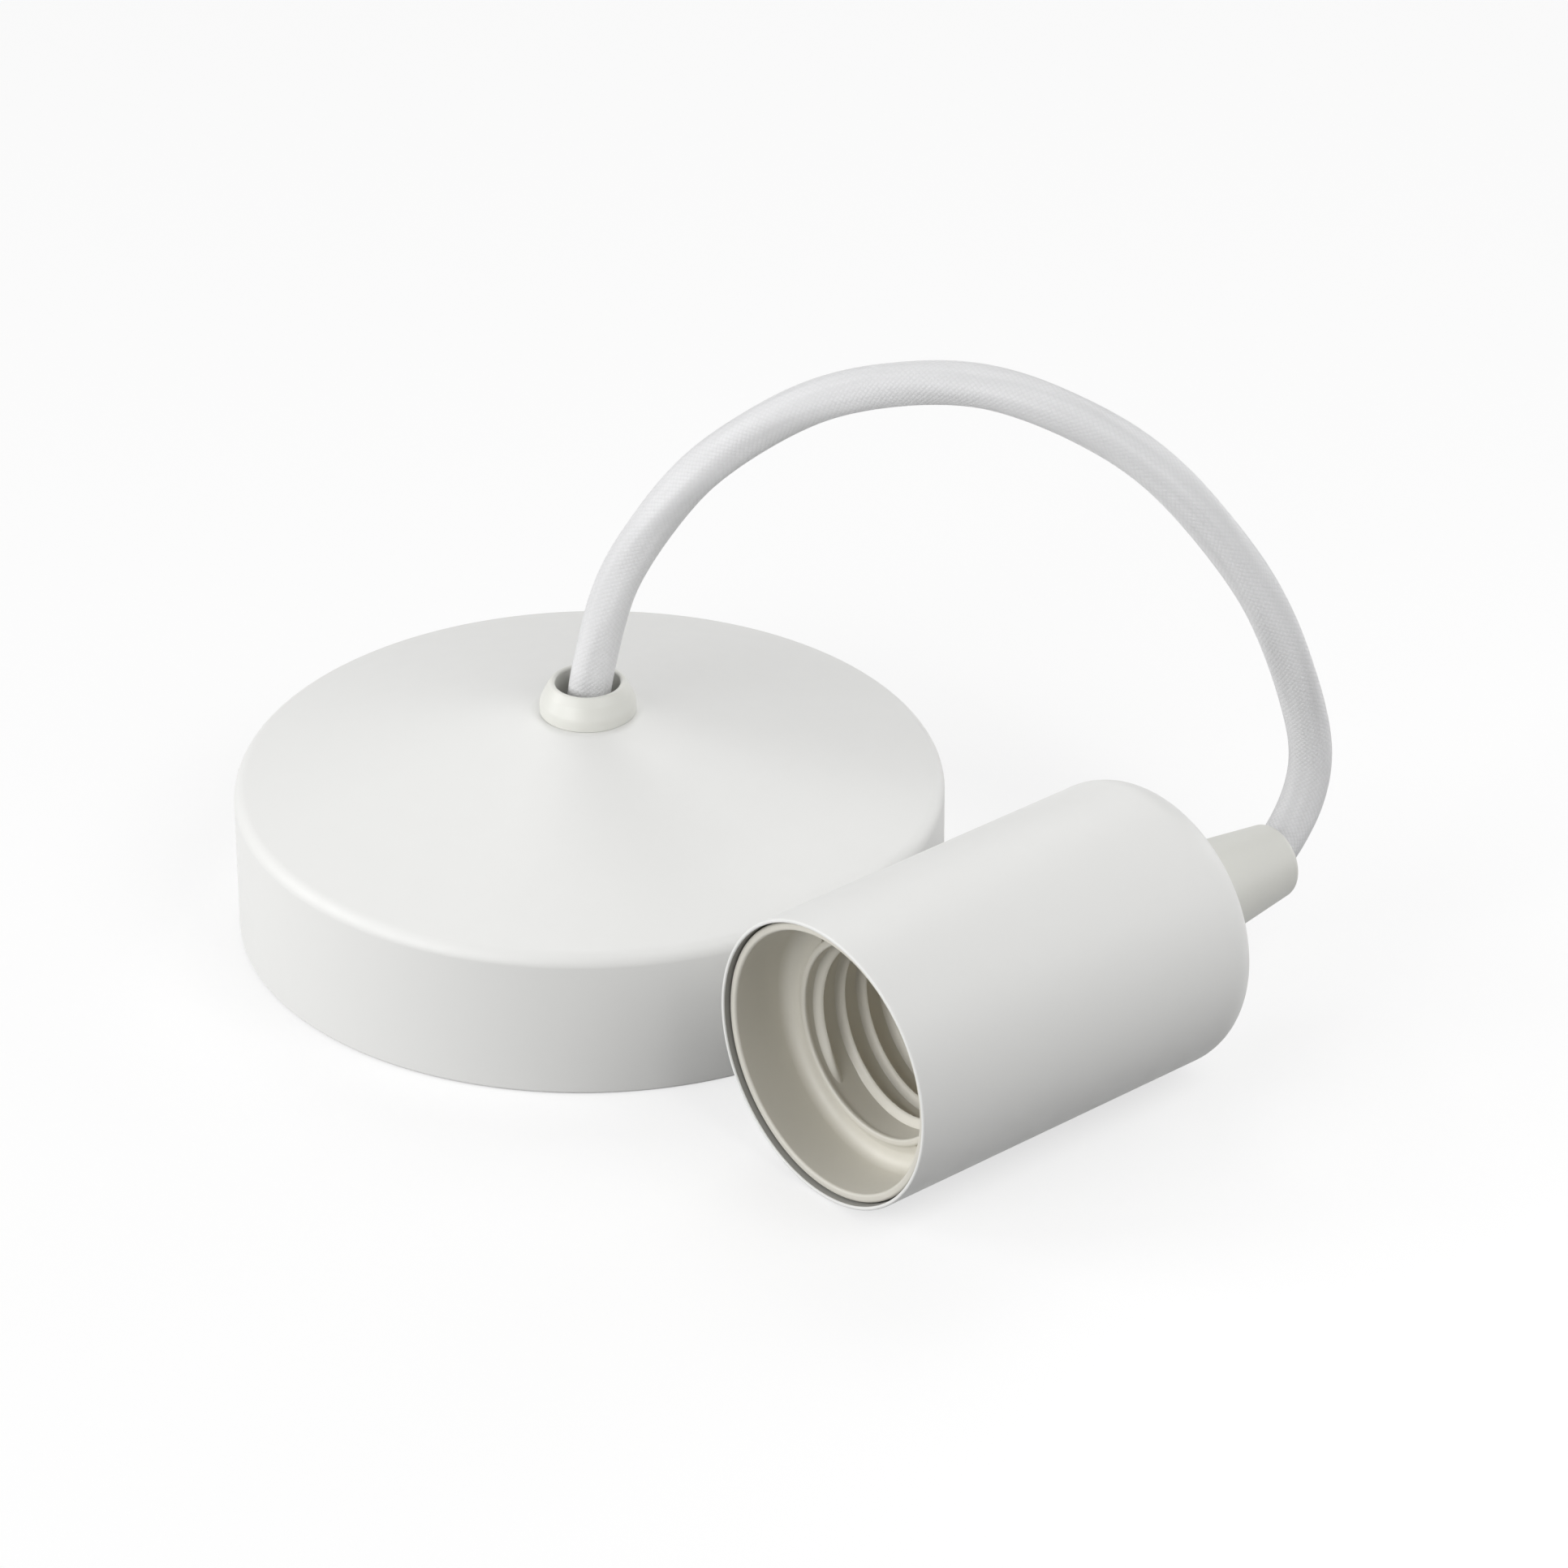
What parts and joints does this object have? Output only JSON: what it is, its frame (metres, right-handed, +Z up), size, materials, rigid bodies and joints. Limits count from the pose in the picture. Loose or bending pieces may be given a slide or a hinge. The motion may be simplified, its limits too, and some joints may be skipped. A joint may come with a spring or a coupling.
{
  "type": "pendant cord set",
  "caption": "White pendant cord set: a low conical ceiling rose, a short textile cord and a smooth cylindrical E27 lamp holder lying on its side.",
  "frame": {"origin": "middle of the box round the rose and the lamp holder, on the surface that both rest on", "axes": "+Z up out of that surface; +Y along the lamp holder's axis from its mouth to its neck; +X from the rose towards the lamp holder, the longest side of the box"},
  "size_m": [0.1414, 0.1149, 0.087],
  "materials": {
    "white_paint": "satin white powder coat",
    "white_plastic": "moulded white, half gloss",
    "socket_plastic": "moulded off-white thermoset",
    "carrier_plastic": "moulded off-white thermoset",
    "white_textile": "fine white textile braid",
    "zinc_steel": "bright zinc plating",
    "brass": "plain drawn brass",
    "clear_nylon": "natural nylon, slightly translucent",
    "live_insulation": "smooth brown insulation",
    "neutral_insulation": "smooth blue insulation",
    "earth_insulation": "smooth green and yellow insulation"
  },
  "bodies": {
    "root": {"block_screw_earth_cord": "brass", "block_screw_earth_mains": "brass", "block_screw_live_cord": "brass", "block_screw_live_mains": "brass", "block_screw_neutral_cord": "brass", "block_screw_neutral_mains": "brass", "block_sleeve_earth": "brass", "block_sleeve_live": "brass", "block_sleeve_neutral": "brass", "cap_lock_nut": "zinc_steel", "centre_contact": "brass", "contact_carrier": "carrier_plastic", "contact_rivet_live": "brass", "contact_rivet_neutral": "brass", "earth_tag": "brass", "holder_clamp_bar_back": "clear_nylon", "holder_clamp_bar_front": "clear_nylon", "holder_clamp_screw_left": "zinc_steel", "holder_clamp_screw_right": "zinc_steel", "holder_core_earth": "earth_insulation", "holder_core_live": "live_insulation", "holder_core_neutral": "neutral_insulation", "holder_cover": "white_paint", "holder_neck": "white_plastic", "holder_terminal_live": "brass", "holder_terminal_neutral": "brass", "holder_terminal_screw_live": "zinc_steel", "holder_terminal_screw_neutral": "zinc_steel", "lamp_socket": "socket_plastic", "mounting_bracket": "zinc_steel", "neck_nut": "zinc_steel", "pendant_cord": "white_textile", "rear_cap": "carrier_plastic", "rose_clamp_bar_back": "clear_nylon", "rose_clamp_bar_front": "clear_nylon", "rose_clamp_screw_left": "zinc_steel", "rose_clamp_screw_right": "zinc_steel", "rose_collar": "white_plastic", "rose_core_earth": "earth_insulation", "rose_core_live": "live_insulation", "rose_core_neutral": "neutral_insulation", "rose_cover": "white_paint", "side_contact": "brass", "terminal_block": "clear_nylon", "terminal_block_screw": "zinc_steel", "threaded_tube": "zinc_steel", "tube_nut_lower": "zinc_steel", "tube_nut_upper": "zinc_steel"}
  },
  "joints": []
}
